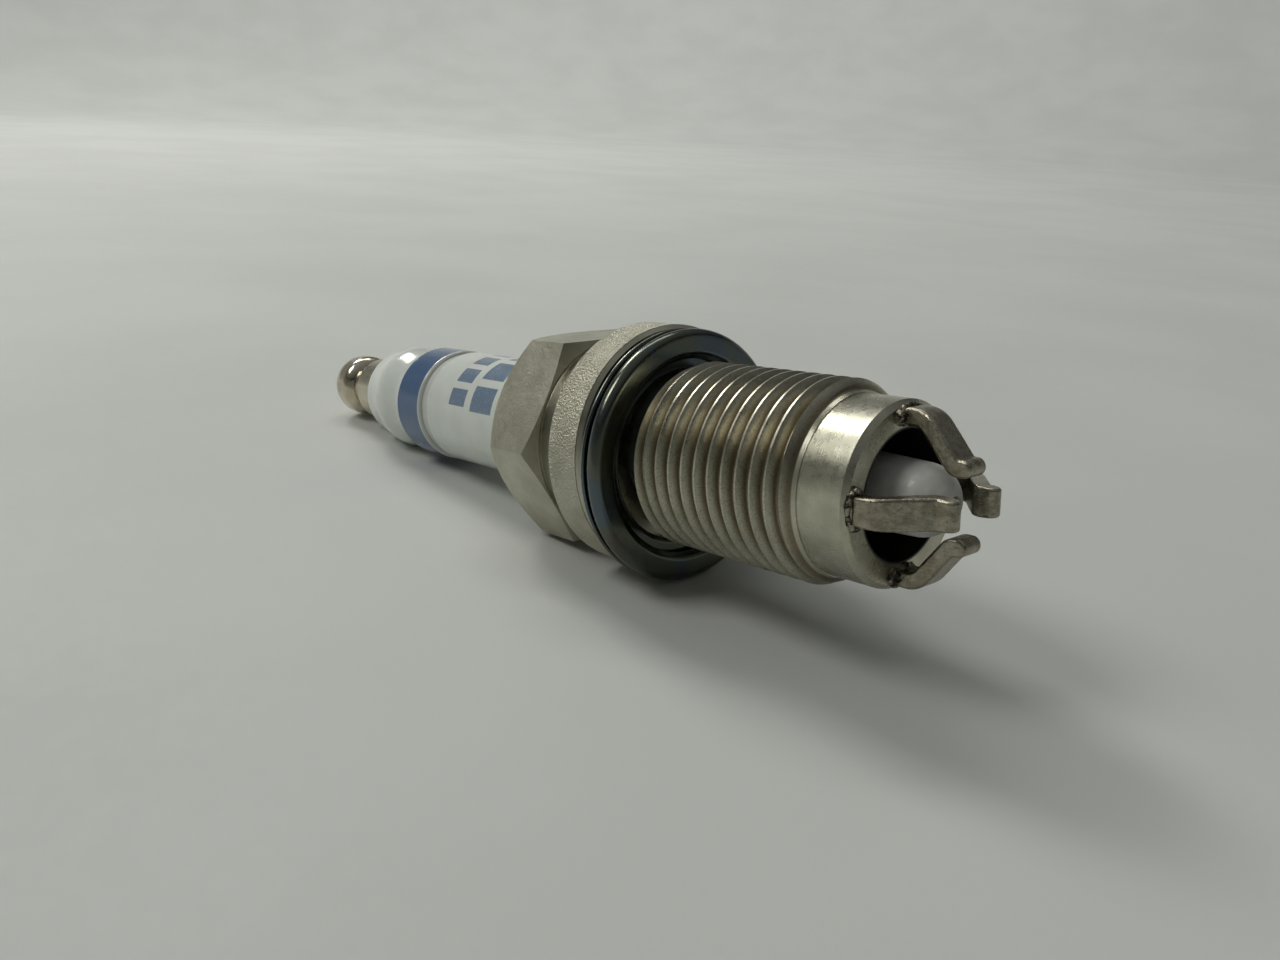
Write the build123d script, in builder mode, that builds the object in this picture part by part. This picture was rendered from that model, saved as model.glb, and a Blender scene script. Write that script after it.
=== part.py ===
"""Resistor spark plug: M14 x 1.25 thread, 19 mm reach, 16 mm hex, four ground electrodes.

Every piece is turned about the X axis. X = 0 is the plane of the sealing gasket's front face,
+X points to the firing end, and a flat of the hex faces straight down (-Z).
"""
import os
from math import asin, cos, degrees, radians, sin, tan

from build123d import *

os.makedirs("parts", exist_ok=True)

# ------------------------------------------------------------ driving dimensions (mm)
REACH = 19.0                  # gasket face to the end of the shell
FIT = 0.05                    # radial clearance between fitted pieces

GASKET_THICKNESS = 1.7        # folded gasket as sold, not yet crushed
GASKET_OUTER_R = 9.6
GASKET_INNER_R = 6.45         # inner lip, smaller than the thread, keeps the gasket captive
GASKET_SHEET = 0.34
GASKET_MIDDLE_X = -1.12       # middle layer of the folded sheet
GASKET_BEAD_R = 7.9           # inner edge of the rounded front face
GASKET_SAG = 0.4              # the loose gasket hangs this far below the plug's axis
GASKET_GAP = 0.45             # gasket lies this far forward of the flange

FLANGE_R = 9.4
FLANGE_THICKNESS = 3.6
FLANGE_CHAMFER = 0.3
HEX_FLATS = 16.0
HEX_LENGTH = 6.2
HEX_REAR_CONE = 1.15          # axial length of the chamfer cone per mm of radius
HEX_FRONT_CONE = 0.4
WAIST_R = 7.75                # shrink groove between hex and flange
WAIST_LENGTH = 3.15
COLLAR_R = 6.95               # rolled collar behind the hex
COLLAR_LENGTH = 1.65
CRIMP_R = 5.32                # collar's lip, closed over the insulator

THREAD_R = 6.93               # M14 x 1.25
THREAD_PITCH = 1.25
THREAD_DEPTH = 0.72
THREAD_START = 0.55
THREAD_TURN = 120             # the threaded shell is turned by two flats of its hex
THREAD_END = 15.0
NECK_R = 5.95                 # plain neck that the gasket rides on
PILOT_R = 6.05                # plain nose of the shell in front of the thread
PILOT_START = 15.3
PILOT_CHAMFER = 0.35
NOSE_BORE_R = 4.24
LEDGE_R = 3.75                # ledge that the insulator sits on
BODY_BORE_R = 4.75
REAR_BORE_R = 6.05
LEDGE_X = 3.0
REAR_BORE_X = -5.0

INSULATOR_R = 5.2             # visible glazed barrel
SHOULDER_R = 5.92             # thick part of the insulator inside the shell
SHOULDER_REAR_X = -10.2
BARREL_END_X = -30.5
BAND_FRONT_X = -31.6
BAND_REAR_X = -36.0
BAND_R = 5.25
GROOVE_R = 4.95
HEAD_R = 5.07
HEAD_X = -39.8
INSULATOR_END_X = -44.5
NOSE_R = 2.35
NOSE_CENTRE_X = 20.3          # centre of the nose's round end
CORE_HOLE_R = 2.25            # hole for stud, glass and resistor
NOSE_HOLE_R = 0.6             # hole for the centre electrode

TERMINAL_REAR_X = -54.8
TERMINAL_FRONT_X = -44.6
TERMINAL_R = 3.175            # standard 6.35 mm terminal
TERMINAL_NECK_R = 2.45
STUD_R = 2.0                  # M4 x 0.7
STUD_PITCH = 0.7
STUD_THREAD_DEPTH = 0.4
STUD_REAR_X = -53.0
STUD_FRONT_X = -14.0
GLASS_REAR_X = -10.6          # rear glass seal ends, resistor begins
RESISTOR_END_X = -4.6
ELECTRODE_HEAD_X = -1.4

ELECTRODE_WIDTH = 1.8
ELECTRODE_BULGE = 0.2         # the bar is this much wider at its bend
ELECTRODE_THICKNESS = 1.1
ELECTRODE_EDGE = 0.2
WELD_HEIGHT = 1.25            # radial size of the weld bead at each root
WELD_SPREAD = 0.35            # bead shows this far on each side of the bar
WELD_THICKNESS = 0.35
ELECTRODE_ROOT_R = 5.15
ELECTRODE_BEND_X = 20.6
ELECTRODE_KINK_X = 22.85
# Angle about the axis (0 = +Y, 90 = up), bent-in radius of each tip, and X where the bar ends.
GROUND_ELECTRODES = {
    "top": (88, 2.45, 23.95),
    "rear": (-2, 2.4, 24.05),
    "bottom": (268, 2.35, 23.95),
    "front": (178, 2.3, 24.3),
}

FLANGE_FACE_X = -(GASKET_THICKNESS + GASKET_GAP)
FLANGE_REAR_X = FLANGE_FACE_X - FLANGE_THICKNESS
HEX_FRONT_X = FLANGE_REAR_X - WAIST_LENGTH
HEX_REAR_X = HEX_FRONT_X - HEX_LENGTH
COLLAR_REAR_X = HEX_REAR_X - COLLAR_LENGTH
HEX_CORNER_R = HEX_FLATS / 2 / cos(radians(30))


# ------------------------------------------------------------ helpers
def save(piece, label):
    """Name a finished piece and write it as one STEP file."""
    piece.part.label = label
    export_step(piece.part, f"parts/{label}.step")


def half_section(*points):
    """Close (x, radius) points into a face, ready to be spun about the X axis."""
    with BuildSketch(Plane.XZ) as section:
        with BuildLine():
            Polyline(*points, close=True)
        make_face()
    return section.sketch


def thread_groove(pitch, major_r, depth, start_x, end_x):
    """Helical V groove with a round root, as a cutter. It overruns the thread, so both ends run out."""
    flank = radians(30)
    overshoot = 0.1
    mouth_half = (pitch - pitch / 8) / 2
    root_r = mouth_half / tan(flank) - depth
    root_half = root_r * cos(flank)
    root_height = root_r * (1 - sin(flank))
    outer_half = mouth_half + overshoot * tan(flank)
    with BuildPart() as cutter:
        with BuildLine() as path:
            Helix(pitch, end_x - start_x, major_r - depth, center=(start_x, 0, 0), direction=(1, 0, 0))
        start = path.line @ 0
        outward = start - Vector(start_x, 0, 0)
        with BuildSketch(Plane(origin=start, x_dir=(1, 0, 0), z_dir=Vector(1, 0, 0).cross(outward))):
            with BuildLine():
                ThreePointArc((-root_half, root_height), (0, 0), (root_half, root_height))
                Polyline(
                    (root_half, root_height),
                    (outer_half, depth + overshoot),
                    (-outer_half, depth + overshoot),
                    (-root_half, root_height),
                )
            make_face()
        sweep(path=path.line, is_frenet=True)
    return cutter.part


def ring_of_wire(x, radius, wire_r):
    """A plain wire ring about the X axis."""
    with BuildPart() as ring:
        with BuildSketch(Plane.XZ):
            with Locations((x, radius)):
                Circle(wire_r)
        revolve(axis=Axis.X)
    return ring


# ------------------------------------------------------------ shell
with BuildPart() as wrench_hex:
    with BuildSketch(Plane.YZ.offset(HEX_REAR_X)):
        RegularPolygon(radius=HEX_FLATS / 2, side_count=6, major_radius=False)
    extrude(amount=HEX_LENGTH)
    flat_r = HEX_FLATS / 2 - 0.1
    cone_r = HEX_CORNER_R + 0.1
    revolve(
        half_section(
            (HEX_REAR_X, 0),
            (HEX_REAR_X, flat_r),
            (HEX_REAR_X + HEX_REAR_CONE * (cone_r - flat_r), cone_r),
            (HEX_FRONT_X - HEX_FRONT_CONE * (cone_r - flat_r), cone_r),
            (HEX_FRONT_X, flat_r),
            (HEX_FRONT_X, 0),
        ),
        axis=Axis.X,
        mode=Mode.INTERSECT,
    )

with BuildPart() as threaded_shell:
    revolve(
        half_section(
            (COLLAR_REAR_X, 0),
            (COLLAR_REAR_X, 6.1),
            (COLLAR_REAR_X + 0.25, 6.6),
            (COLLAR_REAR_X + 0.7, COLLAR_R),
            (HEX_REAR_X, COLLAR_R),
            (HEX_REAR_X + 1.0, WAIST_R),
            (FLANGE_REAR_X - 0.15, WAIST_R),
            (FLANGE_REAR_X, WAIST_R + 0.15),
            (FLANGE_REAR_X, FLANGE_R - 0.15),
            (FLANGE_REAR_X + 0.15, FLANGE_R),
            (FLANGE_FACE_X - FLANGE_CHAMFER, FLANGE_R),
            (FLANGE_FACE_X, FLANGE_R - FLANGE_CHAMFER),
            (FLANGE_FACE_X, NECK_R),
            (THREAD_START - 0.35, NECK_R),
            (THREAD_START + 0.6, THREAD_R),
            (THREAD_END - 0.75, THREAD_R),
            (THREAD_END, THREAD_R - THREAD_DEPTH),
            (PILOT_START, THREAD_R - THREAD_DEPTH - 0.1),
            (PILOT_START, PILOT_R),
            (REACH - PILOT_CHAMFER, PILOT_R),
            (REACH, PILOT_R - PILOT_CHAMFER),
            (REACH, 0),
        ),
        axis=Axis.X,
    )
    add(wrench_hex.part)
    revolve(
        half_section(
            (REACH + 1, 0),
            (REACH + 1, NOSE_BORE_R),
            (LEDGE_X + 1.6, NOSE_BORE_R),
            (LEDGE_X + 1.1, LEDGE_R),
            (LEDGE_X, LEDGE_R),
            (LEDGE_X - (BODY_BORE_R - LEDGE_R), BODY_BORE_R),
            (REAR_BORE_X + (REAR_BORE_R - BODY_BORE_R), BODY_BORE_R),
            (REAR_BORE_X, REAR_BORE_R),
            (HEX_REAR_X - 0.2, REAR_BORE_R),
            (HEX_REAR_X - 0.65, CRIMP_R),
            (COLLAR_REAR_X - 1, CRIMP_R),
            (COLLAR_REAR_X - 1, 0),
        ),
        axis=Axis.X,
        mode=Mode.SUBTRACT,
    )
    blank_volume = threaded_shell.part.volume
    groove = thread_groove(THREAD_PITCH, THREAD_R, THREAD_DEPTH, THREAD_START - 1.4, THREAD_END + 0.9)
    add(groove, mode=Mode.SUBTRACT)
    assert threaded_shell.part.volume < blank_volume - 100, "the shell's thread was not cut"

with BuildPart() as shell:
    add(threaded_shell.part, rotation=(THREAD_TURN, 0, 0))
save(shell, "shell")

# ------------------------------------------------------------ ceramic insulator
SEAT_GAP = 0.4                # room for the seal washer, measured along X
SEAT_LINE = LEDGE_X + LEDGE_R - SEAT_GAP    # on the seat cone, x + radius is this constant
BODY_R = BODY_BORE_R - 0.13
NOSE_ROOT_R = 3.35


def on_nose(angle):
    """Point of the nose's round end, at an angle from the axis."""
    return (NOSE_CENTRE_X + NOSE_R * cos(radians(angle)), NOSE_R * sin(radians(angle)))


with BuildPart() as insulator:
    with BuildSketch(Plane.XZ):
        with BuildLine():
            nose_tip = on_nose(degrees(asin(NOSE_HOLE_R / NOSE_R)))
            nose_mid = on_nose(50)
            nose_side = on_nose(85)
            ThreePointArc(nose_tip, nose_mid, nose_side)
            Polyline(
                nose_side,
                (NOSE_CENTRE_X - 6, NOSE_R + 0.25),
                (LEDGE_X + 1.9, NOSE_ROOT_R),
                (SEAT_LINE - NOSE_ROOT_R - FIT, NOSE_ROOT_R),
                (SEAT_LINE - BODY_R - FIT, BODY_R),
                (REAR_BORE_X + 0.85, BODY_R),
                (REAR_BORE_X - 0.45, SHOULDER_R),
                (SHOULDER_REAR_X, SHOULDER_R),
                (SHOULDER_REAR_X - 0.8, INSULATOR_R),
                (BARREL_END_X + 0.35, INSULATOR_R),
            )
            ThreePointArc(
                (BARREL_END_X + 0.35, INSULATOR_R),
                (BARREL_END_X + 0.08, INSULATOR_R - 0.07),
                (BARREL_END_X, GROOVE_R),
            )
            Line((BARREL_END_X, GROOVE_R), (BAND_FRONT_X, GROOVE_R))
            ThreePointArc(
                (BAND_FRONT_X, GROOVE_R),
                (BAND_FRONT_X - 0.12, BAND_R - 0.08),
                (BAND_FRONT_X - 0.5, BAND_R),
            )
            Line((BAND_FRONT_X - 0.5, BAND_R), (BAND_REAR_X + 0.5, BAND_R))
            ThreePointArc(
                (BAND_REAR_X + 0.5, BAND_R),
                (BAND_REAR_X + 0.12, BAND_R - 0.1),
                (BAND_REAR_X, BAND_R - 0.4),
            )
            Spline(
                (BAND_REAR_X, BAND_R - 0.4),
                (BAND_REAR_X - 1.3, 4.68),
                (HEAD_X, HEAD_R),
                (INSULATOR_END_X + 1.9, 4.5),
                (INSULATOR_END_X, 3.35),
                tangents=[(-1, -0.35), (-0.35, -1)],
            )
            Polyline(
                (INSULATOR_END_X, 3.35),
                (INSULATOR_END_X, CORE_HOLE_R),
                (0.4, CORE_HOLE_R),
                (0.4 + CORE_HOLE_R - NOSE_HOLE_R, NOSE_HOLE_R),
                nose_tip,
            )
        make_face()
    revolve(axis=Axis.X)
save(insulator, "insulator")

# ------------------------------------------------------------ seals between shell and insulator
with BuildPart() as inner_seal_washer:
    washer_inner = LEDGE_R + 0.05
    washer_outer = BODY_BORE_R - 0.1
    washer_line = LEDGE_X + LEDGE_R - 0.02
    revolve(
        half_section(
            (washer_line - washer_inner, washer_inner),
            (washer_line - washer_outer, washer_outer),
            (SEAT_LINE - washer_outer, washer_outer),
            (SEAT_LINE - washer_inner, washer_inner),
        ),
        axis=Axis.X,
    )
save(inner_seal_washer, "inner_seal_washer")

PACKING_WIRE_R = 0.34
PACKING_R = (INSULATOR_R + REAR_BORE_R) / 2
FRONT_PACKING_X = SHOULDER_REAR_X - 1.05
REAR_PACKING_X = HEX_REAR_X + 0.05
front_packing_ring = ring_of_wire(FRONT_PACKING_X, PACKING_R, PACKING_WIRE_R)
save(front_packing_ring, "front_packing_ring")
rear_packing_ring = ring_of_wire(REAR_PACKING_X, PACKING_R, PACKING_WIRE_R)
save(rear_packing_ring, "rear_packing_ring")

with BuildPart() as sealing_powder:
    powder_front_x = FRONT_PACKING_X - PACKING_WIRE_R - FIT
    powder_rear_x = REAR_PACKING_X + PACKING_WIRE_R + FIT
    revolve(
        half_section(
            (powder_front_x, INSULATOR_R + FIT),
            (powder_front_x, REAR_BORE_R - FIT),
            (powder_rear_x, REAR_BORE_R - FIT),
            (powder_rear_x, INSULATOR_R + FIT),
        ),
        axis=Axis.X,
    )
save(sealing_powder, "sealing_powder")

# ------------------------------------------------------------ current path inside the insulator
CORE_R = CORE_HOLE_R - FIT
CENTRE_WIRE_R = NOSE_HOLE_R - FIT
KNURL_COUNT = 5
KNURL_PITCH = 1.0
CORE_BORE_R = 0.35
CORE_BORE_END_X = 19.5

with BuildPart() as terminal_stud:
    revolve(
        half_section(
            (STUD_REAR_X, 0),
            (STUD_REAR_X, STUD_R - 0.45),
            (STUD_REAR_X + 0.45, STUD_R),
            (TERMINAL_FRONT_X - 0.4, STUD_R),
            (TERMINAL_FRONT_X, CORE_R - 0.6),
            (INSULATOR_END_X + 0.3, CORE_R - 0.6),
            (INSULATOR_END_X + 0.6, CORE_R),
            (STUD_FRONT_X - 1.2, CORE_R),
            (STUD_FRONT_X, CORE_R - 0.9),
            (STUD_FRONT_X, 0),
        ),
        axis=Axis.X,
    )
    blank_volume = terminal_stud.part.volume
    stud_groove = thread_groove(
        STUD_PITCH, STUD_R, STUD_THREAD_DEPTH, STUD_REAR_X - 0.8, TERMINAL_FRONT_X - 1.0
    )
    add(stud_groove, mode=Mode.SUBTRACT)
    assert terminal_stud.part.volume < blank_volume - 10, "the stud's thread was not cut"
    for index in range(KNURL_COUNT):
        knurl_x = STUD_FRONT_X - 2.2 - index * KNURL_PITCH
        revolve(
            half_section(
                (knurl_x - 0.3, CORE_R + 0.2),
                (knurl_x - 0.3, CORE_R),
                (knurl_x, CORE_R - 0.3),
                (knurl_x + 0.3, CORE_R),
                (knurl_x + 0.3, CORE_R + 0.2),
            ),
            axis=Axis.X,
            mode=Mode.SUBTRACT,
        )
save(terminal_stud, "terminal_stud")


def core_plug(start_x, end_x):
    """A cylinder that fills the insulator's hole from start_x to end_x."""
    with BuildPart() as plug:
        with BuildSketch(Plane.YZ.offset(start_x)):
            Circle(CORE_R)
        extrude(amount=end_x - start_x)
    return plug


rear_glass_seal = core_plug(STUD_FRONT_X + 0.02, GLASS_REAR_X)
save(rear_glass_seal, "rear_glass_seal")
resistor = core_plug(GLASS_REAR_X + 0.02, RESISTOR_END_X)
save(resistor, "resistor")
front_glass_seal = core_plug(RESISTOR_END_X + 0.02, ELECTRODE_HEAD_X - 0.02)
save(front_glass_seal, "front_glass_seal")

with BuildPart() as centre_electrode:
    revolve(
        half_section(
            (ELECTRODE_HEAD_X, CORE_BORE_R),
            (ELECTRODE_HEAD_X, CORE_R - 0.25),
            (ELECTRODE_HEAD_X + 0.25, CORE_R),
            (0.2, CORE_R),
            (0.2 + CORE_R - CENTRE_WIRE_R, CENTRE_WIRE_R),
            (NOSE_CENTRE_X + NOSE_R - 0.3, CENTRE_WIRE_R),
            (NOSE_CENTRE_X + NOSE_R - 0.12, CENTRE_WIRE_R - 0.2),
            (NOSE_CENTRE_X + NOSE_R - 0.12, 0),
            (CORE_BORE_END_X, 0),
            (CORE_BORE_END_X, CORE_BORE_R),
        ),
        axis=Axis.X,
    )
save(centre_electrode, "centre_electrode")

with BuildPart() as copper_core:
    with BuildSketch(Plane.YZ.offset(ELECTRODE_HEAD_X)):
        Circle(CORE_BORE_R - 0.02)
    extrude(amount=CORE_BORE_END_X - ELECTRODE_HEAD_X - 0.1)
    fillet(copper_core.edges().filter_by(GeomType.CIRCLE).sort_by(Axis.X)[-1], radius=0.15)
save(copper_core, "copper_core")

# ------------------------------------------------------------ terminal nut
with BuildPart() as terminal_nut:
    BULB_FRONT_X = TERMINAL_REAR_X + 4.2
    SKIRT_REAR_X = TERMINAL_FRONT_X - 3.6
    with BuildSketch(Plane.XZ):
        with BuildLine():
            Line((TERMINAL_REAR_X, 0), (TERMINAL_REAR_X, 1.25))
            ThreePointArc(
                (TERMINAL_REAR_X, 1.25),
                (TERMINAL_REAR_X + 0.62, 2.5),
                (TERMINAL_REAR_X + 2.3, TERMINAL_R),
            )
            Line((TERMINAL_REAR_X + 2.3, TERMINAL_R), (TERMINAL_REAR_X + 3.0, TERMINAL_R))
            ThreePointArc(
                (TERMINAL_REAR_X + 3.0, TERMINAL_R),
                (BULB_FRONT_X - 0.35, TERMINAL_R - 0.2),
                (BULB_FRONT_X + 0.1, TERMINAL_NECK_R),
            )
            Polyline(
                (BULB_FRONT_X + 0.1, TERMINAL_NECK_R),
                (SKIRT_REAR_X - 0.6, TERMINAL_NECK_R),
                (SKIRT_REAR_X, TERMINAL_R),
                (TERMINAL_FRONT_X - 0.35, TERMINAL_R),
                (TERMINAL_FRONT_X, TERMINAL_R - 0.35),
                (TERMINAL_FRONT_X, 0),
                (TERMINAL_REAR_X, 0),
            )
        make_face()
    revolve(axis=Axis.X)
    revolve(
        half_section(
            (STUD_REAR_X - 0.9, 0),
            (STUD_REAR_X - 0.3, STUD_R + FIT),
            (TERMINAL_FRONT_X - 0.3, STUD_R + FIT),
            (TERMINAL_FRONT_X + 0.1, STUD_R + FIT + 0.4),
            (TERMINAL_FRONT_X + 0.1, 0),
        ),
        axis=Axis.X,
        mode=Mode.SUBTRACT,
    )
save(terminal_nut, "terminal_nut")

# ------------------------------------------------------------ captive sealing gasket
GASKET_AXIS = Axis((0, 0, -GASKET_SAG), (1, 0, 0))

with BuildPart() as outer_gasket:
    half_sheet = GASKET_SHEET / 2
    back_x = -GASKET_THICKNESS + half_sheet
    front_x = -half_sheet
    rim_z = GASKET_OUTER_R - half_sheet - GASKET_SAG
    lip_z = GASKET_INNER_R + half_sheet - GASKET_SAG
    bead_z = GASKET_BEAD_R - GASKET_SAG
    with BuildSketch(Plane.XZ):
        with BuildLine() as fold:
            FilletPolyline(
                (back_x, rim_z),
                (back_x, lip_z),
                (GASKET_MIDDLE_X, lip_z),
                (GASKET_MIDDLE_X, rim_z),
                (front_x, rim_z),
                (front_x, bead_z),
                (front_x - GASKET_SHEET, bead_z - GASKET_SHEET),
                radius=[0.2, 0.2, 0.46, 0.46, 0.25],
            )
            offset(fold.line, amount=half_sheet, side=Side.BOTH, mode=Mode.REPLACE)
        make_face()
    revolve(axis=GASKET_AXIS)
save(outer_gasket, "outer_gasket")


# ------------------------------------------------------------ ground electrodes
def ground_electrode(angle, tip_r, tip_x):
    """A flat nickel bar, welded to the shell's rim and bent in towards the axis, then straight."""
    outward = Vector(0, cos(radians(angle)), sin(radians(angle)))
    radial_plane = Plane(origin=(0, 0, 0), x_dir=(1, 0, 0), z_dir=Vector(1, 0, 0).cross(outward))
    rim_plane = Plane(origin=(REACH, 0, 0), x_dir=outward, z_dir=(1, 0, 0))
    plan_plane = Plane(origin=(0, 0, 0), x_dir=(1, 0, 0), z_dir=outward)
    half_thickness = ELECTRODE_THICKNESS / 2
    half_width = ELECTRODE_WIDTH / 2
    with BuildPart() as bar:
        with BuildSketch(radial_plane):
            with BuildLine() as spine:
                FilletPolyline(
                    (REACH + half_thickness, ELECTRODE_ROOT_R),
                    (ELECTRODE_BEND_X, ELECTRODE_ROOT_R),
                    (ELECTRODE_KINK_X, tip_r),
                    (tip_x - half_thickness, tip_r),
                    radius=[1.6, 0.5],
                )
                offset(
                    spine.line,
                    amount=half_thickness,
                    kind=Kind.INTERSECTION,
                    side=Side.BOTH,
                    mode=Mode.REPLACE,
                )
            make_face()
        extrude(amount=ELECTRODE_WIDTH, both=True)
        with BuildSketch(plan_plane):
            with BuildLine():
                Spline(
                    (REACH, half_width),
                    ((REACH + ELECTRODE_KINK_X) / 2 + 0.4, half_width + ELECTRODE_BULGE / 2),
                    (tip_x, half_width),
                    tangents=[(1, 0), (1, -0.1)],
                )
                Line((tip_x, half_width), (tip_x, 0))
                Line((tip_x, 0), (REACH, 0))
                Line((REACH, 0), (REACH, half_width))
            make_face()
            mirror(about=Plane.XZ)
        extrude(amount=ELECTRODE_ROOT_R + ELECTRODE_THICKNESS, mode=Mode.INTERSECT)
        free_edges = bar.edges().filter_by_position(Axis.X, REACH + 0.01, tip_x - 0.01)
        fillet(free_edges, radius=ELECTRODE_EDGE)
        with BuildSketch(rim_plane):
            with Locations((ELECTRODE_ROOT_R - 0.05, 0)):
                RectangleRounded(WELD_HEIGHT, ELECTRODE_WIDTH + 2 * WELD_SPREAD, 0.3)
        extrude(amount=WELD_THICKNESS, taper=30)
    return bar


for name, (angle, tip_r, tip_x) in GROUND_ELECTRODES.items():
    save(ground_electrode(angle, tip_r, tip_x), f"ground_electrode_{name}")
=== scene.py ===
"""Looks for the spark plug: materials, weld flash, floor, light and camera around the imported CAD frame.

The frame is the CAD one, in metres: the plug's axis is X, +X points to the firing end, and X = 0 is
the front face of the sealing gasket. Sizes below are in millimetres and are turned into metres by MM.
"""

from math import cos, pi, radians, sin

import bmesh
import bpy
from mathutils import Matrix, Vector, noise


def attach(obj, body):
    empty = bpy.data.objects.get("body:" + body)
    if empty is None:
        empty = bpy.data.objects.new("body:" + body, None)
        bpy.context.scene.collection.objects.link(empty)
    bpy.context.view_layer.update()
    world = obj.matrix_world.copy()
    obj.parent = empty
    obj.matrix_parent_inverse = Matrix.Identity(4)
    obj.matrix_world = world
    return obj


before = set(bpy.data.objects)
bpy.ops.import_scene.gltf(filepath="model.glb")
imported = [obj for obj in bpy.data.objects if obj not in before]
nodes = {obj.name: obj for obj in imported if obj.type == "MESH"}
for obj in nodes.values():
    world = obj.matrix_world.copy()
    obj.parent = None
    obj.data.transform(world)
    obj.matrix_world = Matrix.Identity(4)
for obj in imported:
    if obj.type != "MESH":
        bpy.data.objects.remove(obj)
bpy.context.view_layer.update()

MM = 0.001

# ---------------------------------------------------------------- places on the plug (mm)
HEX_REAR_X = -15.1
HEX_FRONT_X = -8.9
FLANGE_REAR_X = -5.75
FLANGE_FACE_X = -2.15
FLANGE_R = 9.4
GASKET_BACK_RIM_X = (-1.8, -1.5)
GASKET_MIDDLE_RIM_X = (-1.02, -0.86)
GASKET_RIM_R = 9.15
THREAD_START_X = 0.3
THREAD_END_X = 15.0
THREAD_ROOT_R = 6.21
THREAD_CREST_R = 6.93
PILOT_START_X = 15.3
REACH = 19.0
NOSE_BORE_R = 4.24
HEAD_X = -39.8
HEAD_R = 5.07
BAND_REAR_X = -35.95
BAND_FRONT_X = -31.95
GROOVE_FRONT_X = -30.5
SMALL_BARS_X = (-26.6, -24.1)
LARGE_BARS_X = (-23.1, -19.8)
GLAZE_END_X = 2.0
ELECTRODE_ROOT_R = 5.15
ELECTRODE_WIDTH = 1.8
ELECTRODE_ANGLES = {"top": 88, "rear": -2, "bottom": 268, "front": 178}


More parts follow.
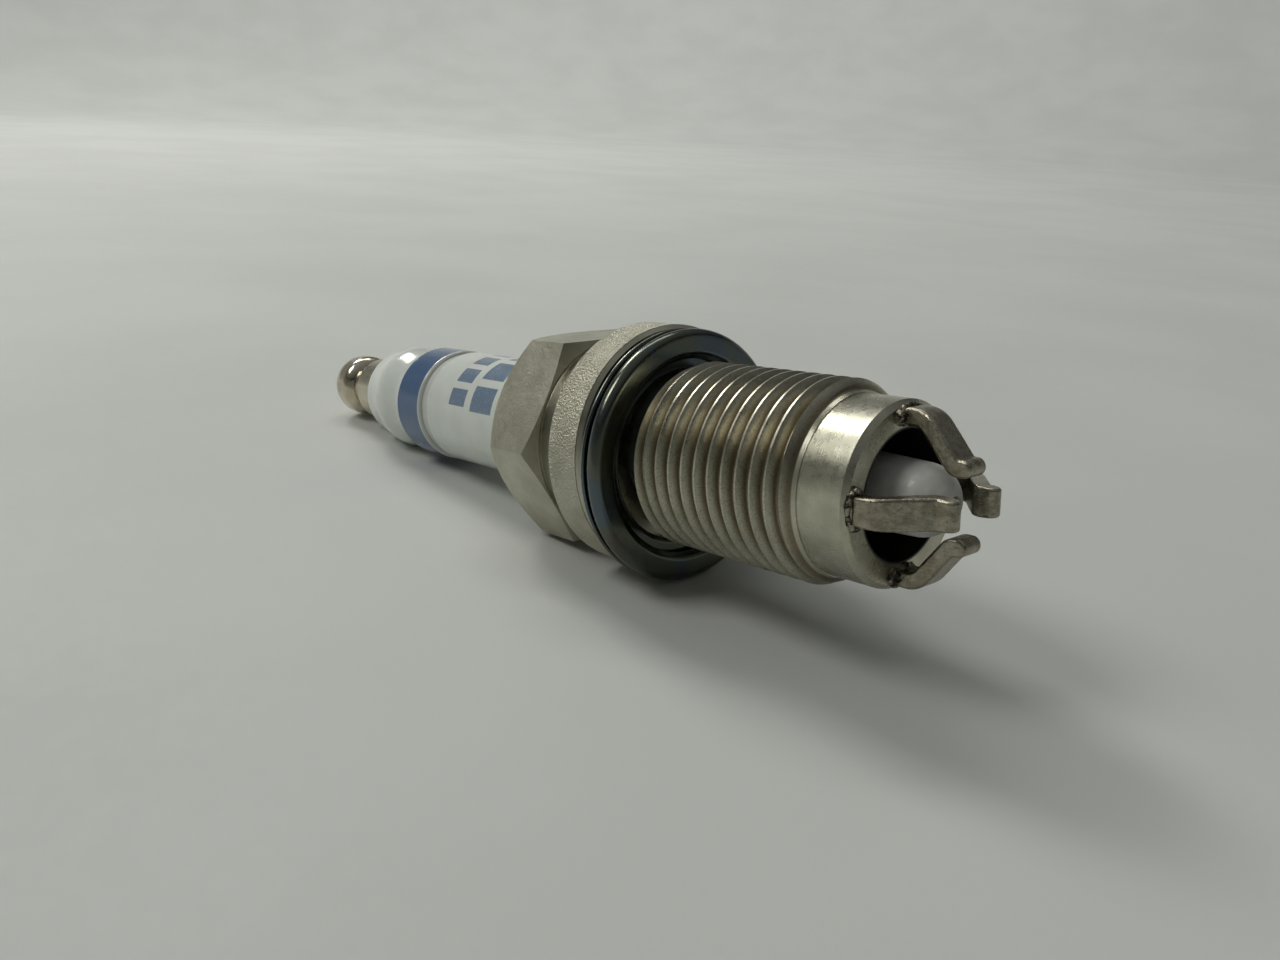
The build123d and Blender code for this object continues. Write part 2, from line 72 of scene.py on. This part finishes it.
# ---------------------------------------------------------------- node helpers
class Shader:
    """One procedural material: adds nodes, links them, and keeps the useful coordinates."""

    def __init__(self, name):
        self.material = bpy.data.materials.new(name)
        self.material.use_nodes = True
        self.tree = self.material.node_tree
        self.bsdf = self.tree.nodes["Principled BSDF"]
        place = self.add("ShaderNodeTexCoord").outputs["Object"]
        self.place = self.stretch(place, (1 / MM, 1 / MM, 1 / MM))
        split = self.add("ShaderNodeSeparateXYZ")
        self.feed(split.inputs[0], self.place)
        self.x, self.y, self.z = split.outputs
        self.radius = self.math("SQRT", self.math("ADD", self.square(self.y), self.square(self.z)))
        self.angle = self.math("ARCTAN2", self.z, self.y)

    def add(self, kind, **settings):
        node = self.tree.nodes.new(kind)
        for key, value in settings.items():
            setattr(node, key, value)
        return node

    def feed(self, socket, value):
        if isinstance(value, bpy.types.NodeSocket):
            self.tree.links.new(value, socket)
        else:
            socket.default_value = value

    def math(self, operation, a, b=0.0):
        node = self.add("ShaderNodeMath", operation=operation)
        self.feed(node.inputs[0], a)
        self.feed(node.inputs[1], b)
        return node.outputs[0]

    def total(self, *terms):
        """Sum of several numbers."""
        result = terms[0]
        for term in terms[1:]:
            result = self.math("ADD", result, term)
        return result

    def product(self, *factors):
        """Several numbers multiplied together."""
        result = factors[0]
        for factor in factors[1:]:
            result = self.math("MULTIPLY", result, factor)
        return result

    def square(self, a):
        return self.math("MULTIPLY", a, a)

    def stretch(self, a, factors):
        """Coordinates multiplied axis by axis."""
        node = self.add("ShaderNodeVectorMath", operation="MULTIPLY")
        self.feed(node.inputs[0], a)
        node.inputs[1].default_value = factors
        return node.outputs[0]

    def combine(self, x, y, z):
        node = self.add("ShaderNodeCombineXYZ")
        for socket, value in zip(node.inputs, (x, y, z)):
            self.feed(socket, value)
        return node.outputs[0]

    def noise(self, scale, detail=3.0, rough=0.5, at=None):
        """Noise from 0 to 1; scale is in cells per millimetre."""
        node = self.add("ShaderNodeTexNoise")
        self.feed(node.inputs["Vector"], self.place if at is None else at)
        node.inputs["Scale"].default_value = scale
        node.inputs["Detail"].default_value = detail
        node.inputs["Roughness"].default_value = rough
        return node.outputs["Fac"]

    def rings(self, scale, detail, rough):
        """Noise that only changes along X and with the radius, like the marks of a lathe tool."""
        along = self.math("MULTIPLY", self.x, scale)
        outward = self.math("MULTIPLY", self.radius, scale)
        return self.noise(1.0, detail, rough, at=self.combine(along, outward, 0.0))

    def remap(self, value, low, high, to_low=0.0, to_high=1.0):
        """Value from low..high onto to_low..to_high, smooth and clamped."""
        node = self.add("ShaderNodeMapRange", interpolation_type="SMOOTHSTEP")
        self.feed(node.inputs["Value"], value)
        node.inputs["From Min"].default_value = low
        node.inputs["From Max"].default_value = high
        node.inputs["To Min"].default_value = to_low
        node.inputs["To Max"].default_value = to_high
        return node.outputs["Result"]

    def between(self, value, start, end, soft=0.05):
        """1 where value lies from start to end, 0 outside, with soft edges."""
        rise = self.remap(value, start - soft, start + soft)
        fall = self.remap(value, end - soft, end + soft, 1.0, 0.0)
        return self.math("MULTIPLY", rise, fall)

    def mix(self, factor, a, b):
        node = self.add("ShaderNodeMix", data_type="RGBA")
        self.feed(node.inputs[0], factor)
        for socket, value in ((node.inputs[6], a), (node.inputs[7], b)):
            self.feed(socket, value if isinstance(value, bpy.types.NodeSocket) else (*value, 1.0))
        return node.outputs[2]

    def blend(self, factor, a, b):
        """Number a where factor is 0, number b where it is 1."""
        node = self.add("ShaderNodeMix", data_type="FLOAT")
        for socket, value in ((node.inputs[0], factor), (node.inputs[2], a), (node.inputs[3], b)):
            self.feed(socket, value)
        return node.outputs[0]

    def bump(self, height, depth_mm):
        """Surface relief: a height of 1 stands for depth_mm."""
        node = self.add("ShaderNodeBump")
        node.inputs["Distance"].default_value = depth_mm * MM
        self.feed(node.inputs["Height"], height)
        self.feed(self.bsdf.inputs["Normal"], node.outputs[0])

    def finish(self, color, roughness, metallic=0.0):
        self.feed(self.bsdf.inputs["Base Color"], color)
        self.feed(self.bsdf.inputs["Roughness"], roughness)
        self.bsdf.inputs["Metallic"].default_value = metallic
        return self.material


# ---------------------------------------------------------------- materials
def shell_material():
    """Nickel plating on turned, forged and rolled steel: each stretch of the shell has its own finish, and
    the thread valleys, the waist and the bore get painted shade.
    """
    s = Shader("nickel_plated_shell")
    near_flange_edge = s.remap(s.radius, FLANGE_R - 0.3, FLANGE_R - 0.1)
    flange = s.product(s.between(s.x, FLANGE_REAR_X - 0.05, FLANGE_FACE_X - 0.3, 0.03), near_flange_edge)
    hexagon = s.between(s.x, HEX_REAR_X, HEX_FRONT_X + 0.1, 0.05)
    thread = s.between(s.x, THREAD_START_X, THREAD_END_X)
    pilot = s.between(s.x, PILOT_START_X, REACH + 0.2)
    in_bore = s.remap(s.radius, NOSE_BORE_R + 0.05, NOSE_BORE_R + 0.25, 1.0, 0.0)
    bore = s.product(in_bore, s.remap(s.x, 2.0, 3.0))
    below_crest = s.remap(s.radius, THREAD_ROOT_R + 0.1, THREAD_CREST_R - 0.12, 1.0, 0.0)
    valley = s.product(thread, below_crest)
    waist = s.between(s.x, HEX_FRONT_X + 0.1, FLANGE_REAR_X - 0.05, 0.05)

    cloud = s.noise(0.35, 3.0, 0.55)
    mottle = s.noise(1.6, 4.0, 0.6)
    grain = s.noise(9.0, 3.0, 0.65)
    speck = s.noise(22.0, 2.0, 0.7)
    turned = s.rings(9.0, 4.0, 0.75)

    nickel = s.mix(s.remap(cloud, 0.35, 0.65), (0.44, 0.425, 0.335), (0.54, 0.525, 0.43))
    nickel = s.mix(s.remap(mottle, 0.45, 0.75, 0.0, 0.2), nickel, (0.35, 0.335, 0.235))
    # Painted shade: the thread valleys are painted dark brown.
    nickel = s.mix(s.product(valley, 0.88), nickel, (0.20, 0.165, 0.105))
    grime = s.remap(s.noise(7.0, 4.0, 0.7), 0.45, 0.75, 0.0, 0.6)
    nickel = s.mix(s.product(thread, grime), nickel, (0.12, 0.10, 0.07))
    # Painted shade: the waist between hex and flange is painted dark.
    nickel = s.mix(s.product(waist, 0.8), nickel, (0.20, 0.185, 0.14))
    pits = s.remap(speck, 0.72, 0.78, 0.0, 0.4)
    nickel = s.mix(pits, nickel, (0.16, 0.14, 0.12))
    # Painted shade: the bore inside the shell's nose is painted near black.
    nickel = s.mix(bore, nickel, (0.05, 0.045, 0.04))

    plain = s.remap(cloud, 0.3, 0.7, 0.25, 0.36)
    rough = s.blend(flange, plain, s.remap(grain, 0.3, 0.7, 0.28, 0.42))
    rough = s.blend(hexagon, rough, s.remap(mottle, 0.3, 0.7, 0.30, 0.40))
    rough = s.blend(valley, rough, 0.34)
    rough = s.blend(pilot, rough, s.remap(mottle, 0.3, 0.7, 0.24, 0.34))
    rough = s.blend(bore, rough, 0.6)

    blasted = s.product(flange, s.noise(6.0, 2.0, 0.6), 7.0)
    forged = s.product(hexagon, s.math("ADD", s.product(grain, 0.9), mottle))
    smooth_part = s.math("SUBTRACT", 1.0, s.math("MAXIMUM", flange, hexagon))
    lathe_depth = s.math("ADD", 0.3, s.product(waist, 0.8))
    lathe = s.product(smooth_part, lathe_depth, turned)
    dents = s.noise(0.6, 2.0, 0.5)
    s.bump(s.total(blasted, forged, lathe, dents, s.product(speck, 0.12)), 0.035)
    return s.finish(nickel, rough, 1.0)


def stripe_row(s, span, first_degrees, bar_degrees, gap_degrees, count):
    """Mask of a row of plain bars printed round the barrel; span holds the X where it starts and ends."""
    step = bar_degrees + gap_degrees
    from_first = s.math("SUBTRACT", radians(first_degrees), s.angle)
    turns = s.math("DIVIDE", from_first, radians(step))
    started = s.math("GREATER_THAN", turns, 0.0)
    in_row = s.product(started, s.math("LESS_THAN", turns, float(count)))
    phase = s.math("FRACT", turns)
    in_bar = s.between(phase, 0.02, bar_degrees / step, 0.015)
    along = s.between(s.x, *span, 0.04)
    return s.product(in_row, in_bar, along)


def insulator_material():
    """White glazed alumina with a blue band and two rows of plain blue bars; the nose is unglazed."""
    s = Shader("glazed_insulator")
    cloud = s.noise(0.25, 2.0, 0.5)
    white = s.mix(s.remap(cloud, 0.35, 0.65), (0.66, 0.70, 0.655), (0.72, 0.76, 0.715))
    matt = s.remap(s.x, GLAZE_END_X - 0.5, GLAZE_END_X + 0.5)
    ceramic = s.mix(s.remap(s.noise(1.1, 3.0), 0.4, 0.7), (0.58, 0.58, 0.545), (0.66, 0.66, 0.625))
    color = s.mix(matt, white, ceramic)
    fade = s.product(s.remap(s.noise(2.2, 3.0), 0.2, 0.8), 0.25)
    blue = s.mix(fade, (0.06, 0.12, 0.24), (0.085, 0.15, 0.28))
    band = s.between(s.x, BAND_REAR_X, BAND_FRONT_X, 0.06)
    color = s.mix(band, color, blue)
    # Painted shade: the groove in front of the blue band is painted grey.
    groove = s.between(s.x, BAND_FRONT_X + 0.1, GROOVE_FRONT_X + 0.05, 0.05)
    color = s.mix(s.product(groove, 0.45), color, (0.42, 0.42, 0.40))
    small_bars = stripe_row(s, SMALL_BARS_X, first_degrees=165, bar_degrees=18, gap_degrees=7, count=5)
    large_bars = stripe_row(s, LARGE_BARS_X, first_degrees=168, bar_degrees=27, gap_degrees=8, count=4)
    bars = s.math("MAXIMUM", small_bars, large_bars)
    ink = s.product(bars, s.remap(s.noise(5.0, 3.0), 0.2, 0.5, 0.7, 0.92))
    color = s.mix(ink, color, (0.12, 0.19, 0.30))
    glaze = s.remap(s.noise(0.9, 2.0), 0.3, 0.7, 0.14, 0.22)
    rough = s.blend(matt, glaze, 0.55)
    ripple = s.product(s.noise(0.7, 2.0), s.blend(matt, 0.6, 0.2))
    print_step = s.product(s.math("MAXIMUM", band, ink), 0.25)
    tooth = s.product(matt, s.noise(14.0), 0.4)
    s.bump(s.total(ripple, print_step, tooth), 0.02)
    s.bsdf.inputs["Coat Weight"].default_value = 0.25
    s.bsdf.inputs["Coat Roughness"].default_value = 0.1
    s.bsdf.inputs["Subsurface Weight"].default_value = 0.08
    s.bsdf.inputs["Subsurface Scale"].default_value = 0.6 * MM
    return s.finish(color, rough)


def gasket_material():
    """Dark chromated zinc with drifting bluish, greenish and reddish patches, and painted highlights on
    its rim edges.
    """
    s = Shader("chromated_gasket")
    patch = s.noise(0.22, 2.0, 0.5)
    color = s.mix(s.remap(patch, 0.38, 0.52), (0.105, 0.13, 0.145), (0.125, 0.135, 0.11))
    color = s.mix(s.remap(patch, 0.56, 0.68, 0.0, 0.6), color, (0.14, 0.11, 0.095))
    # Painted highlight: thin bright rings on the back rim edge and the fold crease, broken up by noise.
    back_edge = s.between(s.x, *GASKET_BACK_RIM_X, 0.03)
    middle_edge = s.between(s.x, *GASKET_MIDDLE_RIM_X, 0.03)
    edge = s.math("MAXIMUM", back_edge, middle_edge)
    outer = s.remap(s.radius, GASKET_RIM_R - 0.15, GASKET_RIM_R + 0.15)
    highlight_noise = s.remap(s.noise(3.0, 3.0), 0.3, 0.6, 0.3, 0.7)
    edge_highlight = s.product(edge, outer, highlight_noise)
    color = s.mix(edge_highlight, color, (0.42, 0.44, 0.42))
    dust = s.remap(s.noise(16.0, 2.0, 0.7), 0.68, 0.74, 0.0, 0.4)
    color = s.mix(dust, color, (0.40, 0.40, 0.37))
    rough = s.remap(s.noise(2.5, 3.0), 0.3, 0.7, 0.16, 0.26)
    waves = s.product(s.noise(0.7, 2.0), 0.6)
    s.bump(s.total(waves, s.product(s.noise(12.0, 2.0), 0.12)), 0.02)
    return s.finish(color, rough, 1.0)


def terminal_material():
    """Polished nickel, turned, with handling marks."""
    s = Shader("polished_terminal")
    rings = s.rings(8.0, 3.0, 0.7)
    color = s.mix(s.remap(s.noise(0.8, 3.0), 0.35, 0.7), (0.64, 0.60, 0.49), (0.54, 0.48, 0.36))
    rough = s.remap(s.noise(3.0, 3.0), 0.3, 0.75, 0.1, 0.24)
    s.bump(s.total(s.product(rings, 0.5), s.product(s.noise(2.0, 2.0), 0.6)), 0.012)
    return s.finish(color, rough, 1.0)


def electrode_material():
    """Dull drawn nickel alloy: lengthwise scratches, dark heat stains and small dents."""
    s = Shader("nickel_alloy_bar")
    drawn = s.noise(1.0, 3.0, 0.65, at=s.stretch(s.place, (1.2, 9.0, 9.0)))
    stain = s.noise(1.1, 4.0, 0.6)
    color = s.mix(s.remap(stain, 0.35, 0.6), (0.26, 0.235, 0.175), (0.38, 0.355, 0.28))
    color = s.mix(s.remap(stain, 0.60, 0.72, 0.0, 0.75), color, (0.09, 0.075, 0.055))
    rough = s.remap(drawn, 0.3, 0.7, 0.24, 0.40)
    dents = s.product(s.noise(1.7, 2.0), 1.6)
    s.bump(s.total(s.product(drawn, 0.35), dents, s.product(s.noise(14.0), 0.15)), 0.05)
    return s.finish(color, rough, 1.0)


def weld_material():
    """Weld flash: lumpy, half bright and half burnt."""
    s = Shader("weld_flash")
    burn = s.noise(2.4, 4.0, 0.65)
    color = s.mix(s.remap(burn, 0.42, 0.54), (0.34, 0.31, 0.25), (0.04, 0.034, 0.026))
    s.bump(s.total(s.noise(6.0, 3.0), s.product(s.noise(20.0), 0.3)), 0.06)
    return s.finish(color, s.remap(burn, 0.3, 0.7, 0.24, 0.5), 1.0)


def plain_metal(name, color_a, color_b, rough_low, rough_high):
    """Turned or drawn metal of a hidden piece."""
    s = Shader(name)
    rings = s.rings(7.0, 3.0, 0.7)
    color = s.mix(s.remap(s.noise(0.9, 3.0), 0.35, 0.65), color_a, color_b)
    s.bump(s.total(s.product(rings, 0.5), s.noise(2.0, 2.0)), 0.015)
    return s.finish(color, s.remap(rings, 0.3, 0.7, rough_low, rough_high), 1.0)


def packed_mineral(name, color_a, color_b, rough, grain_scale):
    """Glass, carbon mix or talc: a grainy non-metal."""
    s = Shader(name)
    grain = s.noise(grain_scale, 3.0, 0.6)
    color = s.mix(s.remap(grain, 0.35, 0.65), color_a, color_b)
    s.bump(grain, 0.03)
    return s.finish(color, s.remap(s.noise(1.5), 0.3, 0.7, rough - 0.08, rough + 0.08))


def paint(name, material):
    """Give a CAD node its material."""
    mesh = nodes[name].data
    mesh.materials.clear()
    mesh.materials.append(material)


nickel_alloy = electrode_material()
drawn_steel = plain_metal("drawn_steel", (0.50, 0.49, 0.47), (0.58, 0.57, 0.55), 0.22, 0.34)
dark_glass = packed_mineral("copper_glass", (0.10, 0.075, 0.06), (0.19, 0.13, 0.09), 0.35, 4.0)

paint("shell", shell_material())
paint("insulator", insulator_material())
paint("outer_gasket", gasket_material())
paint("terminal_nut", terminal_material())
paint("terminal_stud", drawn_steel)
paint("inner_seal_washer", drawn_steel)
paint("front_packing_ring", drawn_steel)
paint("rear_packing_ring", drawn_steel)
paint("rear_glass_seal", dark_glass)
paint("front_glass_seal", dark_glass)
paint("resistor", packed_mineral("resistor_mix", (0.03, 0.03, 0.032), (0.07, 0.07, 0.075), 0.6, 6.0))
paint("sealing_powder", packed_mineral("talc_powder", (0.62, 0.60, 0.56), (0.72, 0.70, 0.66), 0.85, 5.0))
paint("copper_core", plain_metal("copper", (0.72, 0.40, 0.26), (0.62, 0.31, 0.19), 0.2, 0.32))
paint("centre_electrode", nickel_alloy)
for side in ELECTRODE_ANGLES:
    paint(f"ground_electrode_{side}", nickel_alloy)


# ---------------------------------------------------------------- weld flash at the electrode roots
def weld_flash(side, degrees, seed):
    """A ragged ridge of flash round an electrode's root, standing on the shell's rim.

    It is a closed tube that follows an ellipse, thicker at the bar's two sides and uneven all over.
    """
    mesh = bmesh.new()
    forward = Vector((1, 0, 0))
    outward = Vector((0, cos(radians(degrees)), sin(radians(degrees))))
    across = forward.cross(outward)
    centre = forward * REACH + outward * ELECTRODE_ROOT_R
    turn_steps = 56
    ring_steps = 12
    half_across = ELECTRODE_WIDTH / 2 + 0.12
    half_out = 0.62
    rings = []
    for i in range(turn_steps):
        turn = 2 * pi * i / turn_steps
        direction = across * cos(turn) * half_across + outward * sin(turn) * half_out
        lumps = noise.noise(Vector((cos(turn) * 2.1, sin(turn) * 2.1, seed)))
        fine = noise.noise(Vector((cos(turn) * 6.0, sin(turn) * 6.0, seed + 9.0)))
        at_side = abs(cos(turn)) ** 3
        size = 0.15 + 0.27 * at_side + 0.14 * lumps + 0.10 * fine
        away = (across * cos(turn) + outward * sin(turn)).normalized()
        ring = []
        for j in range(ring_steps):
            around = 2 * pi * j / ring_steps
            bite = 1 + 0.35 * noise.noise(Vector((i * 0.55, j * 0.9, seed + 4.0)))
            reach = away * cos(around) + forward * sin(around) * 1.3
            ring.append(mesh.verts.new((centre + direction + reach * size * bite) * MM))
        rings.append(ring)
    for i in range(turn_steps):
        here, there = rings[i], rings[(i + 1) % turn_steps]
        for j in range(ring_steps):
            k = (j + 1) % ring_steps
            mesh.faces.new((here[j], there[j], there[k], here[k]))
    bmesh.ops.recalc_face_normals(mesh, faces=mesh.faces)
    data = bpy.data.meshes.new(f"weld_flash_{side}")
    mesh.to_mesh(data)
    mesh.free()
    for face in data.polygons:
        face.use_smooth = True
    obj = bpy.data.objects.new(f"weld_flash_{side}", data)
    bpy.context.collection.objects.link(obj)
    smooth = obj.modifiers.new("smooth", "SUBSURF")
    smooth.levels = 1
    smooth.render_levels = 1
    return obj


SEED_STEP = 3.7
flash_material = weld_material()
for index, (side, degrees) in enumerate(ELECTRODE_ANGLES.items()):
    flash = weld_flash(side, degrees, SEED_STEP * index)
    flash.data.materials.append(flash_material)
    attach(flash, "plug")


# ---------------------------------------------------------------- floor
def floor_material():
    """Pale grey laminate with a fine pebbled surface."""
    s = Shader("pale_table")
    color = s.mix(s.remap(s.noise(0.02, 3.0), 0.3, 0.7), (0.60, 0.615, 0.59), (0.64, 0.655, 0.63))
    s.bump(s.total(s.noise(1.6, 3.0), s.product(s.noise(0.25, 2.0), 0.5)), 0.012)
    s.bsdf.inputs["Specular IOR Level"].default_value = 0.25
    return s.finish(color, s.remap(s.noise(0.6), 0.3, 0.7, 0.58, 0.66))


def add_floor():
    """A round table under the plug's flange and insulator head, curving up into a low pale wall.

    The table's sizes are in metres.
    """
    flange_point = Vector((FLANGE_REAR_X, 0, -FLANGE_R)) * MM
    head_point = Vector((HEAD_X, 0, -HEAD_R)) * MM
    along = (flange_point - head_point).normalized()
    upward = along.cross(Vector((0, 1, 0)))
    sideways = along.cross(upward)
    table_r = 0.9
    bend_r = 0.5
    bend_steps = 20
    round_steps = 96
    profile = [(table_r, 0.0)]
    for i in range(1, bend_steps + 1):
        turn = pi / 2 * i / bend_steps
        profile.append((table_r + bend_r * sin(turn), bend_r * (1 - cos(turn))))
    points = [flange_point]
    faces = []
    for i in range(round_steps):
        turn = 2 * pi * i / round_steps
        outward = along * cos(turn) + sideways * sin(turn)
        first = 1 + i * len(profile)
        next_first = 1 + (i + 1) % round_steps * len(profile)
        faces.append((0, first, next_first))
        for j, (distance, height) in enumerate(profile):
            points.append(flange_point + outward * distance + upward * height)
            if j:
                faces.append((first + j - 1, first + j, next_first + j, next_first + j - 1))
    data = bpy.data.meshes.new("table_top")
    data.from_pydata([tuple(p) for p in points], [], faces)
    for face in data.polygons:
        face.use_smooth = True
    floor = bpy.data.objects.new("table_top", data)
    bpy.context.collection.objects.link(floor)
    data.materials.append(floor_material())


add_floor()


# ---------------------------------------------------------------- light
def area_light(name, position, target, size, power, color):
    """A square softbox at position, turned towards target, both in metres."""
    data = bpy.data.lights.new(name, "AREA")
    data.size = size
    data.energy = power
    data.color = color
    lamp = bpy.data.objects.new(name, data)
    lamp.location = Vector(position)
    back = Vector(position) - Vector(target)
    lamp.rotation_euler = back.to_track_quat("Z", "Y").to_euler()
    bpy.context.collection.objects.link(lamp)


area_light("key_window", (-0.27, -0.49, 0.70), (0, 0, 0), 0.3, 2.1, (1.0, 0.995, 0.95))
area_light("back_panel", (-0.73, 0.06, 0.81), (0, 0, 0), 0.28, 3.1, (1.0, 0.99, 0.94))
area_light("wall_light", (-0.5, 0.45, 1.3), (-1.3, 1.15, 0.2), 0.8, 7.0, (1.0, 1.0, 0.97))


def add_world():
    """A dim room: bright towards the ceiling, dark at the height of the table."""
    world = bpy.data.worlds.new("room")
    bpy.context.scene.world = world
    world.use_nodes = True
    tree = world.node_tree
    coordinate = tree.nodes.new("ShaderNodeTexCoord")
    split = tree.nodes.new("ShaderNodeSeparateXYZ")
    tree.links.new(coordinate.outputs["Generated"], split.inputs[0])
    ramp = tree.nodes.new("ShaderNodeValToRGB")
    tree.links.new(split.outputs["Z"], ramp.inputs[0])
    stops = ramp.color_ramp.elements
    stops[0].position = 0.0
    stops[0].color = (0.02, 0.02, 0.018, 1)
    stops[1].position = 1.0
    stops[1].color = (0.75, 0.77, 0.78, 1)
    low = stops.new(0.30)
    low.color = (0.06, 0.06, 0.055, 1)
    high = stops.new(0.62)
    high.color = (0.46, 0.47, 0.46, 1)
    background = tree.nodes["Background"]
    tree.links.new(ramp.outputs[0], background.inputs["Color"])
    background.inputs["Strength"].default_value = 0.32


add_world()


# ---------------------------------------------------------------- camera
def add_camera():
    """A phone's wide lens close to the firing end, rolled by two degrees."""
    data = bpy.data.cameras.new("camera")
    data.sensor_width = 36.0
    data.lens = 30.23
    data.clip_start = 0.005
    camera = bpy.data.objects.new("camera", data)
    bpy.context.collection.objects.link(camera)
    position = Vector((57.2, -54.6, 17.74)) * MM
    aim = Vector((-1.63, -4.01, -1.69)) * MM
    roll = radians(-1.92)
    look = (aim - position).to_track_quat("-Z", "Y").to_matrix().to_4x4()
    camera.matrix_world = Matrix.Translation(position) @ look @ Matrix.Rotation(roll, 4, "Z")
    bpy.context.scene.camera = camera


add_camera()

scene = bpy.context.scene
scene.view_settings.view_transform = "Standard"
scene.view_settings.look = "None"
